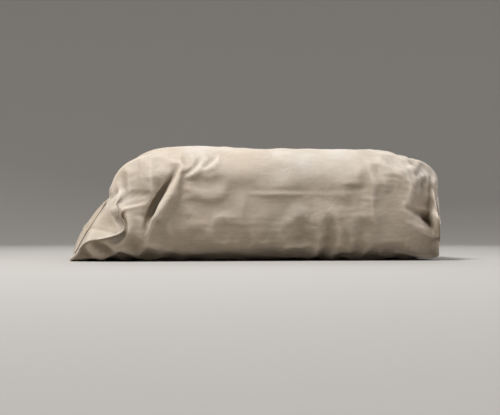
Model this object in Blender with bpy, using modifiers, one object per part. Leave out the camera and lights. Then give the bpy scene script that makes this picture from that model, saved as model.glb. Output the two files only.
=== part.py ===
"""One filled cement sack of kraft paper, lying on its broad face.

X runs along the sack, Y across it and Z up. The origin is the middle of its footprint.
Both ends are pasted block ends: a folded hexagon whose two side tips stick out as ears,
with the side wall pinched in behind each ear. The left end leans back over the fill.
"""

import math
from collections import namedtuple

import bmesh
import bpy
from mathutils import Matrix, Vector

# The filled sack, in metres
SACK_LENGTH = 0.600
BODY_WIDTH = 0.400
SACK_THICKNESS = 0.182

# The pasted block ends
END_WIDTH = 0.410
END_HEIGHT = 0.115
RIGHT_END_LOW = 0.009
LEFT_END_LOW = 0.003
LEFT_LEAN = math.radians(31)
END_BULGE = 0.012
EAR_SWEEP = 0.014
EAR_SWEEP_POWER = 4
EAR_FOLD_LENGTH = 0.030

# Behind the flap of each ear the side wall is pinched in
EAR_FLAP = 0.009
PINCH_DEPTH = 0.036
PINCH_START = 0.012
PINCH_LENGTH = 0.076
PINCH_SHARPNESS = 1.4

# Each ear's own shape. Its pinch has a share of the full depth. It is deepest at a share of the half
# height, which climbs by so much a metre from the end, runs out over further shares below and above,
# and is shorter above by a share. The tip of the ear is bent by a move, which fades out around it.
Ear = namedtuple("Ear", "depth at climb below above shorter tip")
EARS = {
    ("right", "near"): Ear(1.0, -0.12, 5.0, 0.26, 0.95, 0.50, Vector((0.0, 0.001, -0.010))),
    ("left", "near"): Ear(0.40, 0.05, 0.0, 0.70, 0.85, 0.20, Vector((0.030, 0.004, -0.010))),
    ("right", "far"): Ear(0.9, -0.05, 2.0, 0.70, 0.85, 0.35, Vector((-0.004, 0.0, 0.004))),
    ("left", "far"): Ear(0.9, 0.05, 0.0, 0.80, 0.80, 0.30, Vector((0.008, 0.0, -0.004))),
}
TIP_REACH = 0.050

# How the body meets its ends
RIGHT_SHOULDER = 0.100
LEFT_SHOULDER = 0.095
BOTTOM_SHOULDER = 0.060
BODY_BLEND = 0.075
LEAN_REACH = 0.280
SHOULDER_POWER = 1.75

# The long crease down the near side from the slack end's shoulder, by X and Z of its top and foot: a
# valley, and a ridge beside it. A ring of the cage is pulled onto it, and its neighbours follow.
CREASE_TOP = (-0.130, 0.152)
CREASE_FOOT = (-0.190, 0.036)
CREASE_FROM_END = 0.115
CREASE_REACH = 0.065
CREASE_TAPER = 0.35
CREASE_FADE_POWER = 6
VALLEY_DEPTH = 0.008
RIDGE_HEIGHT = 0.006
RIDGE_FROM_VALLEY = 0.018

# The section of the body: a rounded oblong, pressed flat above and below
SECTION_POWER = 3.3
SECTION_CORNER = math.radians(42)
FLAT_PRESS = 1.06

# The paper, and the powder inside it
WALL_THICKNESS = 0.0005
GLUE_GAP = 0.0003
FILL_FLOOR_GAP = 0.0003
FILL_GAP = 0.0025
FILL_EAR_CUT = 0.030
FILL_END_CUT = 0.005

# The cover strips pasted over the folded ends
PATCH_TO_CORNER = 0.0055
PATCH_TO_EDGE = 0.0115
PATCH_LENGTH = END_WIDTH - END_HEIGHT - 2 * PATCH_TO_CORNER
PATCH_HEIGHT = END_HEIGHT - 2 * PATCH_TO_EDGE
PATCH_THICKNESS = 0.0003

# The filling valve, in the back corner of the right end
VALVE_TO_PATCH_EDGE = 0.011
VALVE_HEIGHT = PATCH_HEIGHT - 2 * VALVE_TO_PATCH_EDGE
VALVE_SLIT = 0.0022
VALVE_SLIT_FROM_PATCH = 0.0035
VALVE_SLIT_Y = PATCH_LENGTH / 2 + VALVE_SLIT_FROM_PATCH
SLIT_CUT_MARGIN = 0.006
SLEEVE_LENGTH = 0.085
SLEEVE_THICKNESS = 0.0005
SLEEVE_FROM_SLIT = 0.0004
SLEEVE_SIDE_CLEARANCE = 0.002

# The cage: distances of its rings from the left end and the right one, and its other loops as
# shares of half a side
CREASE_LOOPS = (CREASE_FROM_END, CREASE_FROM_END + RIDGE_FROM_VALLEY)
LEFT_LOOPS = (0.009, 0.021, 0.036, 0.054, 0.076, 0.096, *CREASE_LOOPS, 0.160)
RIGHT_LOOPS = (0.009, 0.021, 0.036, 0.054, 0.076, 0.108, 0.150)
WIDTH_LOOPS = (-0.72, -0.36, 0.0, 0.36, 0.72)
HEIGHT_LOOPS = (-0.66, -0.33, 0.0, 0.33, 0.66)
EDGE_SHARPNESS = 0.8
EAR_SHARPNESS = 0.9
SKIN_SUBDIVISION = 1
FITTING_ROUNDS = 3
SHARP_ANGLE = math.radians(50)
TINY = 1e-6

# A face of the skin belongs to an end when its normal has at least this share along the end's
END_FACE_TURN = 0.5

# Colour and roughness of each material
KRAFT_PAPER = ((0.440, 0.350, 0.252), 0.75)
PATCH_PAPER = ((0.400, 0.318, 0.228), 0.70)
SLEEVE_PAPER = ((0.360, 0.280, 0.190), 0.70)
CEMENT_POWDER = ((0.330, 0.325, 0.310), 0.95)


def clear_scene():
    for obj in list(bpy.data.objects):
        bpy.data.objects.remove(obj)


def new_collection(name):
    collection = bpy.data.collections.new(name)
    bpy.context.scene.collection.children.link(collection)
    return collection


def new_material(name, finish):
    colour, roughness = finish
    material = bpy.data.materials.new(name)
    material.use_nodes = True
    shader = material.node_tree.nodes["Principled BSDF"]
    shader.inputs["Base Color"].default_value = (*colour, 1.0)
    shader.inputs["Roughness"].default_value = roughness
    shader.inputs["Metallic"].default_value = 0.0
    return material


def new_object(name, mesh, collection, material=None):
    obj = bpy.data.objects.new(name, mesh)
    collection.objects.link(obj)
    if material is not None:
        mesh.materials.clear()
        mesh.materials.append(material)
    return obj


def smooth(share):
    """Rises from 0 to 1 with a soft start and a soft end."""
    share = min(1.0, max(0.0, share))
    return share * share * (3 - 2 * share)


def quarter_round(share):
    """Rises from 0 to 1 as a quarter of an oval does, a little flatter than an ellipse."""
    share = min(1.0, max(0.0, share))
    return (1 - (1 - share) ** SHOULDER_POWER) ** (1 / SHOULDER_POWER)


def signed_power(value, power):
    return math.copysign(abs(value) ** power, value)


def end_lowest(right):
    return RIGHT_END_LOW if right else LEFT_END_LOW


def end_lean(right):
    """How far an end face leans back over the sack from upright."""
    return 0.0 if right else LEFT_LEAN


class Form:
    """The skin of the sack, or of the powder in it, which lies a little inside.

    Its points are given by u along the sack, v across it and w up it, each from -1 to 1.
    """

    def __init__(self, inset=0.0, floor=0.0, ear_cut=0.0, end_cut=0.0, ridge=RIDGE_HEIGHT):
        self.floor = floor
        self.ridge = ridge
        self.half_length = SACK_LENGTH / 2 - inset - end_cut
        self.body_half_width = BODY_WIDTH / 2 - inset
        self.top = SACK_THICKNESS - inset
        self.end_half_width = END_WIDTH / 2 - inset - ear_cut
        self.end_half_height = END_HEIGHT / 2 - inset
        self.half_reach = END_WIDTH / 2 - inset

    def heights(self, from_end, right):
        """Lowest and highest point of the ring that lies this far from its end."""
        shoulder = RIGHT_SHOULDER if right else LEFT_SHOULDER
        end_low = end_lowest(right) + self.floor
        end_high = end_low + 2 * self.end_half_height * math.cos(end_lean(right))
        low = end_low + (self.floor - end_low) * quarter_round(from_end / BOTTOM_SHOULDER)
        high = end_high + (self.top - end_high) * quarter_round(from_end / shoulder)
        return low, high

    def body_point(self, v, w, low, high):
        """A point of the body's section, whose side meets its top at SECTION_CORNER."""
        angle = w * (math.pi / 2 - abs(v) * (math.pi / 2 - SECTION_CORNER))
        across = signed_power(math.cos(angle), 2 / SECTION_POWER)
        up = signed_power(math.sin(angle), 2 / SECTION_POWER) * FLAT_PRESS
        y = math.copysign(self.body_half_width * across, v)
        z = (low + high) / 2 + (high - low) / 2 * up
        return y, min(high, max(low, z))

    def end_point(self, v, w, low, high):
        """A point of the folded hexagon: its tips lie halfway up, its short sides at 45 degrees."""
        y = v * (self.end_half_width - self.end_half_height * abs(w))
        return y, (low + high) / 2 + w * (high - low) / 2

    def pinch(self, from_end, rise, ear):
        """How far the side wall is drawn in behind an ear. Rise is the share of the half height."""
        above = rise - ear.at - ear.climb * from_end
        run_out = ear.above if above > 0 else ear.below
        share = max(0.0, 1 - abs(above) / run_out) ** PINCH_SHARPNESS
        start = EAR_FLAP + PINCH_START
        length = (PINCH_LENGTH - start) * (1 - ear.shorter * min(1.0, max(0.0, above)))
        share *= smooth((from_end - EAR_FLAP) / PINCH_START) * (1 - smooth((from_end - start) / length))
        return PINCH_DEPTH * ear.depth * share

    def bend_tips(self, point):
        """Bends the tip of each ear out of the symmetric shape."""
        for (end, side), ear in EARS.items():
            right = end == "right"
            x = SACK_LENGTH / 2 - EAR_SWEEP - END_HEIGHT / 2 * math.sin(end_lean(right))
            y = END_WIDTH / 2
            tip = Vector((x if right else -x, -y if side == "near" else y, END_HEIGHT / 2))
            point = point + ear.tip * smooth(1 - (point - tip).length / TIP_REACH)
        return point

    def reach(self, from_end, v, w, right):
        """How far out the ring of the end would lie here: its middle bulges, its ears sweep back."""
        reach = self.half_length - (END_BULGE if right else 0.0)
        fade = max(0.0, 1 - from_end / EAR_FLAP)
        crown = (1 - w * w) * (1 - v * v)
        sweep = (1 - abs(w)) * v ** EAR_SWEEP_POWER
        return reach + fade * (END_BULGE * crown - EAR_SWEEP * sweep)

    def ring_lean(self, from_end, z, right):
        """How far a ring leans back at this height. It leans less the further it is from its end."""
        face_rise = 2 * self.end_half_height * math.cos(end_lean(right))
        rise = min(z - end_lowest(right) - self.floor, face_rise)
        return rise * math.tan(end_lean(right)) * (1 - smooth(from_end / LEAN_REACH))

    def crease(self, from_end, w, z):
        """How far a point of the near side moves to the left, and how far out, for the long crease."""
        share = (z - CREASE_FOOT[1]) / (CREASE_TOP[1] - CREASE_FOOT[1])
        line_x = CREASE_FOOT[0] + (CREASE_TOP[0] - CREASE_FOOT[0]) * min(1.0, max(0.0, share))
        ring_x = CREASE_FROM_END + self.ring_lean(CREASE_FROM_END, z, False) - self.half_length
        from_valley = from_end - CREASE_FROM_END
        follow = (1 - smooth(abs(from_valley) / CREASE_REACH)) * (1 - w ** CREASE_FADE_POWER)
        taper = smooth(min(share, 1 - share) / CREASE_TAPER)
        valley = max(0.0, 1 - abs(from_valley) / RIDGE_FROM_VALLEY)
        ridge = max(0.0, 1 - abs(from_valley - RIDGE_FROM_VALLEY) / RIDGE_FROM_VALLEY)
        return (ring_x - line_x) * follow, taper * (self.ridge * ridge - VALLEY_DEPTH * valley)

    def point(self, u, v, w):
        right = u >= 0
        from_end = self.half_length * (1 - abs(u))
        low, high = self.heights(from_end, right)
        end_y, end_z = self.end_point(v, w, low, high)
        body_y, body_z = self.body_point(v, w, low, high)
        blend = smooth(from_end / BODY_BLEND)
        y = end_y + (body_y - end_y) * blend
        z = end_z + (body_z - end_z) * blend
        if abs(v) == 1:
            ear = EARS["right" if right else "left", "near" if v < 0 else "far"]
            y -= math.copysign(self.pinch(from_end, (2 * z - low - high) / (high - low), ear), v)
        x = self.reach(from_end, v, w, right) - from_end - self.ring_lean(from_end, z, right)
        if v == -1 and not right:
            aside, lift = self.crease(from_end, w, z)
            x += aside
            y -= lift
        return self.bend_tips(Vector((x if right else -x, y, z)))


def loop_cuts(mesh, axis, places):
    for place in places:
        centre = Vector((0, 0, 0))
        centre[axis] = place
        normal = Vector((0, 0, 0))
        normal[axis] = 1
        geometry = mesh.verts[:] + mesh.edges[:] + mesh.faces[:]
        bmesh.ops.bisect_plane(mesh, geom=geometry, plane_co=centre, plane_no=normal)


def length_loops(half_length):
    """Shares of the half length where the cage has a ring: two more split the middle in three."""
    left = [distance / half_length - 1 for distance in LEFT_LOOPS]
    right = [1 - distance / half_length for distance in RIGHT_LOOPS]
    third = (right[-1] - left[-1]) / 3
    return left + [left[-1] + third, right[-1] - third] + right


def sharpen_edges(mesh, half_length):
    """Sharpens the rim of each folded end, and the folds that run back from its ears."""
    sharpness = mesh.edges.layers.float.new("crease_edge")
    for edge in mesh.edges:
        ends = [vert.co for vert in edge.verts]
        on_side = all(abs(co.y) > 1 - TINY for co in ends)
        on_rim = on_side or all(abs(co.z) > 1 - TINY for co in ends)
        on_end = all(abs(co.x) > 1 - TINY for co in ends)
        at_ear = all(half_length * (1 - abs(co.x)) < EAR_FOLD_LENGTH for co in ends)
        halfway_up = all(abs(co.z) < TINY for co in ends)
        if on_end and on_rim:
            edge[sharpness] = EAR_SHARPNESS if on_side else EDGE_SHARPNESS
        elif on_side and halfway_up and at_ear:
            edge[sharpness] = EAR_SHARPNESS


def cage_mesh(name, form):
    """A cube with loop cuts, each of its points moved onto the form."""
    mesh = bmesh.new()
    bmesh.ops.create_cube(mesh, size=2)
    loop_cuts(mesh, 0, length_loops(form.half_length))
    loop_cuts(mesh, 1, WIDTH_LOOPS)
    loop_cuts(mesh, 2, HEIGHT_LOOPS)
    sharpen_edges(mesh, form.half_length)
    for vert in mesh.verts:
        vert.co = form.point(*(round(share, 6) for share in vert.co))
    data = bpy.data.meshes.new(name)
    mesh.to_mesh(data)
    mesh.free()
    return data


def evaluated_mesh(obj):
    bpy.context.view_layer.update()
    graph = bpy.context.evaluated_depsgraph_get()
    return bpy.data.meshes.new_from_object(obj.evaluated_get(graph))


def fit_cage(guide, form):
    """Moves the cage out until the smooth skin lies on the form, but no further than the sack's box.

    The skin's first points are the cage's own, in the same order.
    """
    wanted = [vert.co.copy() for vert in guide.data.vertices]
    low = (-form.half_length, -form.half_reach, form.floor)
    high = (form.half_length, form.half_reach, form.top)
    for _ in range(FITTING_ROUNDS):
        skin = evaluated_mesh(guide)
        for vert, place, smoothed in zip(guide.data.vertices, wanted, skin.vertices):
            moved = vert.co + place - smoothed.co
            vert.co = [min(most, max(least, along)) for along, least, most in zip(moved, low, high)]
        bpy.data.meshes.remove(skin)


def skin_mesh(name, form, collection):
    """The smooth surface of a form in triangles, so that sheets copied from it match its faces."""
    guide = new_object(name + "_cage", cage_mesh(name + "_cage", form), collection)
    modifier = guide.modifiers.new("Smooth", "SUBSURF")
    modifier.levels = SKIN_SUBDIVISION
    modifier.render_levels = SKIN_SUBDIVISION
    fit_cage(guide, form)
    guide.modifiers.new("Triangles", "TRIANGULATE")
    data = evaluated_mesh(guide)
    data.name = name
    bpy.data.objects.remove(guide)
    return data


def shade(obj):
    obj.data.shade_smooth()
    obj.data.set_sharp_from_angle(angle=SHARP_ANGLE)


def solidify(obj, thickness, offset):
    """Thickens a sheet: offset 1 puts the thickness outside it, and -1 inside."""
    modifier = obj.modifiers.new("Paper", "SOLIDIFY")
    modifier.thickness = thickness
    modifier.offset = offset
    modifier.use_quality_normals = True


def face_frame(right):
    """Middle of an end face, its outward direction and the direction up along it."""
    side = 1 if right else -1
    lean = end_lean(right)
    up = Vector((-side * math.sin(lean), 0, math.cos(lean)))
    outward = Vector((side * math.cos(lean), 0, math.sin(lean)))
    lower_edge = Vector((side * SACK_LENGTH / 2, 0, end_lowest(right)))
    return lower_edge + up * END_HEIGHT / 2, outward, up


def end_sheet(skin, right, shift, across, height):
    """A copy of an end face, moved out by shift and cut to a lowest and highest Y and a height."""
    middle, outward, up = face_frame(right)
    mesh = bmesh.new()
    mesh.from_mesh(skin)
    mesh.normal_update()
    moved = {vert: vert.co + vert.normal * shift for vert in mesh.verts}
    others = [face for face in mesh.faces if face.normal.dot(outward) < END_FACE_TURN]
    bmesh.ops.delete(mesh, geom=others, context="FACES")
    for vert in mesh.verts:
        vert.co = moved[vert]
    cuts = (
        (Vector((0, across[0], 0)), Vector((0, -1, 0))),
        (Vector((0, across[1], 0)), Vector((0, 1, 0))),
        (middle - up * height / 2, -up),
        (middle + up * height / 2, up),
    )
    for place, away in cuts:
        geometry = mesh.verts[:] + mesh.edges[:] + mesh.faces[:]
        bmesh.ops.bisect_plane(mesh, geom=geometry, plane_co=place, plane_no=away, clear_outer=True)
    data = bpy.data.meshes.new("end_sheet")
    mesh.to_mesh(data)
    mesh.free()
    return data


def make_slit_cutter(collection):
    """The flat box that opens the valve beside the cover strip."""
    bpy.ops.mesh.primitive_cube_add(size=1)
    cutter = bpy.context.object
    cutter.name = "valve_slit_cutter"
    for owner in list(cutter.users_collection):
        owner.objects.unlink(cutter)
    collection.objects.link(cutter)
    middle = face_frame(True)[0]
    depth = END_BULGE + WALL_THICKNESS + 2 * SLIT_CUT_MARGIN
    place = Vector((SACK_LENGTH / 2 + SLIT_CUT_MARGIN - depth / 2, VALVE_SLIT_Y, middle.z))
    size = Matrix.Diagonal((depth, VALVE_SLIT, VALVE_HEIGHT, 1))
    cutter.data.transform(Matrix.Translation(place) @ size)
    cutter.hide_render = True
    cutter.display_type = "WIRE"
    return cutter


def make_sack(skin, cutter, collection, material):
    sack = new_object("paper_sack", skin, collection, material)
    solidify(sack, WALL_THICKNESS, -1)
    slit = sack.modifiers.new("Valve slit", "BOOLEAN")
    slit.operation = "DIFFERENCE"
    slit.object = cutter
    shade(sack)


def make_fill(collection, material):
    """The powder keeps clear of the paper. The ridge beside the crease is paper alone."""
    inside = Form(
        inset=WALL_THICKNESS + FILL_GAP,
        floor=WALL_THICKNESS + FILL_FLOOR_GAP,
        ear_cut=FILL_EAR_CUT,
        end_cut=FILL_END_CUT,
        ridge=0.0,
    )
    skin = skin_mesh("cement_fill", inside, collection)
    shade(new_object("cement_fill", skin, collection, material))


def make_end_patch(name, skin, right, collection, material):
    across = (-PATCH_LENGTH / 2, PATCH_LENGTH / 2)
    sheet = end_sheet(skin, right, GLUE_GAP, across, PATCH_HEIGHT)
    patch = new_object(name, sheet, collection, material)
    solidify(patch, PATCH_THICKNESS, 1)
    shade(patch)


def make_valve_sleeve(skin, collection, material):
    """The sleeve lies pressed flat inside the end wall, and ends at the slit."""
    shift = -(WALL_THICKNESS + GLUE_GAP + SLEEVE_THICKNESS)
    outer = VALVE_SLIT_Y - VALVE_SLIT / 2 - SLEEVE_FROM_SLIT
    across = (outer - SLEEVE_LENGTH, outer)
    sheet = end_sheet(skin, True, shift, across, VALVE_HEIGHT - 2 * SLEEVE_SIDE_CLEARANCE)
    sleeve = new_object("valve_sleeve", sheet, collection, material)
    solidify(sleeve, SLEEVE_THICKNESS, 1)
    shade(sleeve)


def main():
    clear_scene()
    parts = new_collection("cement_sack")
    cutters = new_collection("cutters")
    kraft = new_material("kraft_paper", KRAFT_PAPER)
    patch_paper = new_material("patch_paper", PATCH_PAPER)
    sleeve_paper = new_material("sleeve_paper", SLEEVE_PAPER)
    powder = new_material("cement_powder", CEMENT_POWDER)
    skin = skin_mesh("paper_sack", Form(), parts)
    make_end_patch("end_patch_left", skin, False, parts, patch_paper)
    make_end_patch("end_patch_right", skin, True, parts, patch_paper)
    make_valve_sleeve(skin, parts, sleeve_paper)
    make_fill(parts, powder)
    make_sack(skin, make_slit_cutter(cutters), parts, kraft)


main()
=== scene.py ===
"""Looks of one filled kraft-paper cement sack with pasted block ends, lying on its broad face.

The paper is a tube of rings laid over the same form as the CAD sack, and folded at its sides. It is
relaxed as a net of springs, so that its slack turns into buckles, then creased more sharply on a
finer grid, relaxed once more, and closed by the two folded ends. The powder, the cover strips and
the mouth of the valve follow its shape.
"""

import math
from collections import namedtuple

import bmesh
import bpy
import numpy as np
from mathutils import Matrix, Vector, noise


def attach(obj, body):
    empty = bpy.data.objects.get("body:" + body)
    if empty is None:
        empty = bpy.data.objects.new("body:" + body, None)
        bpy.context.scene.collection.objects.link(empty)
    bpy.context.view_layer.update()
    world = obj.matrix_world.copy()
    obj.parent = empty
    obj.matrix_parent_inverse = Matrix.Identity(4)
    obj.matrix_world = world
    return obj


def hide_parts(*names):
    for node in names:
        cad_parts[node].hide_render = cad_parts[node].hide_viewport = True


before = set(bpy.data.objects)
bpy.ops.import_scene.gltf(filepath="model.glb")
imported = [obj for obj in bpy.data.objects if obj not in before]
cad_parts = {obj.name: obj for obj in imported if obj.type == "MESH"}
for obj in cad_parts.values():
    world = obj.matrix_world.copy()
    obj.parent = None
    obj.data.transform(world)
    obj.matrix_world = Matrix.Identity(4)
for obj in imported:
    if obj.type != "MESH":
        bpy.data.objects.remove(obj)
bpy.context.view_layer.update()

# The sack, as the CAD has it, in metres
HALF_LENGTH = 0.300
BODY_HALF_WIDTH = 0.200
THICKNESS = 0.182
END_HALF_WIDTH = 0.205
END_HALF_HEIGHT = 0.0575
RIGHT_END_LOW = 0.009
LEFT_END_LOW = 0.003
LEFT_LEAN = math.radians(31)
END_BULGE = 0.012
RIGHT_SHOULDER = 0.100
LEFT_SHOULDER = 0.095
BOTTOM_SHOULDER = 0.060
BODY_BLEND = 0.075
LEAN_REACH = 0.280
SHOULDER_POWER = 1.75
SECTION_POWER = 3.3
SECTION_CORNER = math.radians(42)
FLAT_PRESS = 1.06

# Where the form gets flat, the paper turns more softly than the CAD does
SHOULDER_SOFTNESS = 0.022
FLAT_SHARPNESS = 25

# The ears of the ends. Behind its flap the side wall is pinched in, by a share of PINCH_DEPTH. The
# pinch is deepest at a share of the half height, which climbs with the distance from the end, and
# it runs out over further shares below and above. It gets shorter above. The tip then moves.
EAR_SWEEP = 0.014
EAR_SWEEP_FADE = 0.030
EAR_FLAP = 0.009
PINCH_DEPTH = 0.036
PINCH_START = 0.012
PINCH_LENGTH = 0.076
PINCH_SHARPNESS = 1.4
Ear = namedtuple("Ear", "depth at climb below above shorter tip")
EARS = {
    ("right", "near"): Ear(1.0, -0.28, 3.0, 0.26, 0.95, 0.45, (0.0, 0.001, -0.010)),
    ("left", "near"): Ear(0.40, 0.05, 0.0, 0.70, 0.85, 0.20, (0.030, 0.004, -0.010)),
    ("right", "far"): Ear(0.9, -0.05, 2.0, 0.70, 0.85, 0.35, (-0.004, 0.0, 0.004)),
    ("left", "far"): Ear(0.9, 0.05, 0.0, 0.80, 0.80, 0.30, (0.008, 0.0, -0.004)),
}
TIP_REACH = 0.050

# Folds of a side, in millimetres, with the x and z of the points of their line. Depth is how far the
# groove goes in and width how fast it fades; the lip stands up beside it, at lip_at from it, with plus
# to the right of a line that runs down. A fold with a depth below nothing is a ridge.
Fold = namedtuple("Fold", "line depth width lip lip_at")
NEAR_FOLDS = (
    Fold(((-132, 150), (-144, 134), (-166, 98), (-184, 70), (-190, 38)), 9.0, 6.0, 6.0, 12),
    Fold(((-272, 27), (-252, 20), (-233, 16)), 6.0, 4.0, 4.0, -9),
    Fold(((-70, 99), (0, 104), (60, 101), (120, 104), (184, 97)), -0.1, 2.5, -0.1, 8),
    Fold(((158, 152), (168, 120), (164, 84), (172, 30)), -0.7, 12.0, -1.4, -26),
    Fold(((106, 72), (114, 46), (110, 16)), -1.0, 5.0, 0.0, 0),
    Fold(((122, 60), (132, 42), (134, 20)), -0.6, 5.0, 0.0, 0),
    Fold(((214, 80), (238, 72), (260, 54), (279, 36)), -2.5, 6.0, 0.0, 0),
)
FAR_FOLDS = (
    Fold(((140, 152), (152, 128), (158, 96), (170, 60)), 5.0, 6.0, 4.0, 12),
    Fold(((-158, 150), (-176, 118), (-188, 78), (-186, 44)), 5.5, 6.0, 4.0, -12),
    Fold(((-190, 100), (-90, 104), (0, 101), (100, 104)), -0.4, 2.5, -0.3, 8),
    Fold(((60, 150), (30, 132), (-16, 128)), 2.0, 7.0, 1.2, 14),
    Fold(((-40, 74), (-46, 44), (-44, 14)), -1.2, 5.0, 0.0, 0),
)
# Sharper folds, on the finer grid
NEAR_SHARP_FOLDS = (
    Fold(((-145, 134), (-156, 117), (-172, 90), (-183, 66), (-188, 40)), 7.0, 3.2, 1.5, 8),
    Fold(((-132, 126), (-119, 140), (-98, 164)), 4.4, 3.6, 1.8, -8),
    Fold(((-104, 138), (-92, 151), (-72, 172)), 3.8, 3.5, 1.6, -8),
    Fold(((280, 128), (281, 98), (280, 56)), 11.0, 5.0, 0.0, 0),
)
FAR_SHARP_FOLDS = (
    Fold(((-160, 142), (-176, 116), (-185, 84)), 3.6, 3.2, 1.2, -8),
)

# Dents of a side: x and z, half width and half height, and depth, in millimetres
NEAR_DENTS = (
    (50, 38, 18, 24, 2.8),
    (96, 36, 12, 22, 2.8),
    (146, 38, 13, 22, 2.2),
    (262, 88, 16, 12, 2.0),
    (-216, 70, 26, 40, 2.0),
)
FAR_DENTS = (
    (-72, 40, 20, 24, 3.0),
    (84, 46, 16, 26, 2.6),
    (0, 64, 34, 16, 1.6),
    (206, 120, 20, 22, 2.4),
)
MILLIMETRE = 0.001

# A fold fades over a share of its line at both ends, where it is narrower too. Its groove is steeper
# on the side of the lip and round at the bottom. Folds fade where the paper turns up or down.
FOLD_TAPER = 0.42
FOLD_END_WIDTH = 0.4
FOLD_SHARP_SIDE = 0.55
FOLD_ROUND = 0.0022
FOLD_LIP_SPREAD = 1.6
FOLD_FACING = 2

# The powder inside is not quite even: height, scale and seed of each kind of wave. The waves rise over
# the given distances from the floor and the ends, from a share of them on.
BODY_WAVES = ((0.0022, 8.0, 61), (0.0010, 19.0, 62))
WAVES_FROM_FLOOR = 0.030
WAVES_FROM_END = 0.060
RISE_FROM = 0.3
NOISE_OFFSET = np.array((17.3, 5.1, 9.7))

# Corners with small creases, each with its reach. Facets have a height, a scale and a seed.
CRUMPLED_CORNERS = (
    ((0.272, -0.190, 0.135), 0.050),
    ((0.245, -0.185, 0.158), 0.045),
    ((-0.245, -0.185, 0.100), 0.045),
    ((-0.228, 0.190, 0.110), 0.055),
    ((0.270, 0.190, 0.120), 0.055),
    ((0.280, 0.185, 0.020), 0.040),
    ((0.285, -0.185, 0.015), 0.035),
)
CORNER_FACETS = ((0.0022, 62.0, 41), (0.0008, 150.0, 42))
BODY_FACETS = ((0.0008, 21.0, 46), (0.0003, 58.0, 44))
FACET_WAVES = 5
FACET_TURN = 2.4
FACET_TILT = 1.7
FACET_SPREAD = 0.17
FACET_WANDER = 1.1
FACET_WANDER_LENGTH = 5
FACETS_FROM_FLOOR = 0.020

# What comes and goes over the paper: base and contrast of its share, then scale and seed of its noise.
# The last two belong to the patches, which have seeds of their own.
FACETS_COME = (0.4, 1.2, 7.0, 72)
SLACK_COMES = (0.5, 0.9, 9.0, 5)
RUB_COMES = (0.75, 1.0, 28.0, 71)
CURL_COMES = (0.2, 1.6, 22.0)
BUBBLES_COME = (0.1, 1.0, 55.0)

# The folded layers of the ends
FLAP_OVERLAP = 0.010
FLAP_EDGE = 0.0035
LAYER_HEIGHT = 0.0007
UPPER_FLAP_SHARE = 1.4
TUCK_CREASE_WIDTH = 0.0045
TUCK_CREASE_DEPTH = 0.0016
TUCK_CREASE_RISE = 0.014
END_WAVES = ((0.0014, 24.0, 8), (0.00056, 70.0, 9))
END_FADE_ACROSS = 0.06
END_FADE_UP = 0.12
INSIDE_LAST_CELL = 1.001
SHARP_ANGLE = math.radians(60)

# The patches over the ends, with their points across and up, the valve and the powder
PATCH_HALF_LENGTH = 0.142
PATCH_HALF_HEIGHT = 0.046
PATCH_POINTS = (141, 47)
PATCH_THICKNESS = 0.0004
PATCH_GAP = 0.0003
PATCH_RAGGED = 0.0012
PATCH_RAGGED_SCALES = (60.0, 45.0)
PATCH_RAGGED_POWER = 8
PATCH_CURL = 0.0016
PATCH_CURL_WIDTH = 0.004
PATCH_BUBBLES = 0.0008
LEFT_PATCH_SEED = 21
RIGHT_PATCH_SEED = 31
VALVE_HALF_HEIGHT = 0.033
VALVE_POINTS = (15, 33)
VALVE_HIDDEN = 0.010
VALVE_SHOWS = 0.009
VALVE_BUMP = 0.0018
VALVE_BUMP_LENGTH = 0.034
VALVE_BUMP_RISE = 0.012
VALVE_BUMP_SIDE = 0.007
VALVE_PAPER = 0.0004
VALVE_LAYER_GAP = 1.3
VALVE_OPENING = 0.003
VALVE_OPENS_BEFORE = 0.002
POWDER_STEP = 4
POWDER_SHARE = np.array((0.965, 0.945, 0.955))
POWDER_TAPER = 0.18
POWDER_TAPER_START = 0.140
POWDER_TAPER_LENGTH = 0.080

# The grid of the paper: cells along, across and up before it is made finer, and the rings of a rim
CELLS_ALONG = 104
CELLS_ACROSS = 66
CELLS_UP = 30
RIM_STEPS = (0.0, 0.0022, 0.0055, 0.0105)

# The slack of the paper: everywhere, at the ends and at the sides. It comes and goes, from the least
# share of it to that and the added share, and there is less of it on top.
SLACK_BODY = 0.012
SLACK_LEFT = 0.03
SLACK_LEFT_REACH = 0.11
SLACK_RIGHT = 0.03
SLACK_RIGHT_REACH = 0.08
SLACK_SIDE = 0.016
SIDE_START = 0.14
SIDE_LENGTH = 0.04
SLACK_LEAST = 0.25
SLACK_ADDED = 1.5
SLACK_ON_TOP = 0.75
TOP_START = 0.150
TOP_LENGTH = 0.025

# How the paper is relaxed: the waves it starts with, its springs as steps along and around the tube,
# and how firmly the powder holds it against a dent and against lifting off
FIRST_WAVES = ((0.0020, 14.0, 3), (0.0008, 33.0, 4))
SPRINGS = ((1, 0), (0, 1), (1, 1), (1, -1))
SPRING_STEP = 0.7
MOMENTUM = 0.8
HOLD_IN = 0.004
HOLD_OUT = 0.0004
COARSE_STEPS = 700
COARSE_STIFFNESS = 0.015
FINE_STEPS = 160
FINE_SHARE = 0.8
FINE_STIFFNESS = 0.010
TINY = 1e-9

# Wear on what stands out and painted shade in what lies in: how far a point stands out or lies in for the
# most of it, and how far the wear reaches from a rim
WORN_CURVE = 0.00016
HOLLOW_SHADE_CURVE = 0.00020
WEAR_AND_HOLLOW_SHADE_FROM = 0.25
WEAR_AND_HOLLOW_SHADE_SMOOTHED = 2
RIM_RUB = 0.013
RIM_RUB_AT_RIM = 1.2
RIM_RUB_SHARE = 1.6

# Each paper: colour, scale of its fibres along x, y and z, and share of cement dust, which also paints
# light on the top. Then the powder.
KRAFT_PAPER = ((0.412, 0.338, 0.256), (0.22, 1.0, 1.0), 0.55)
PATCH_PAPER = ((0.445, 0.364, 0.274), (1.0, 0.22, 1.0), 0.35)
SLEEVE_PAPER = ((0.36, 0.29, 0.21), (1.0, 0.22, 1.0), 0.1)
CEMENT_COLOUR = (0.33, 0.325, 0.31)
CEMENT_ROUGHNESS = 0.95

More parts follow.
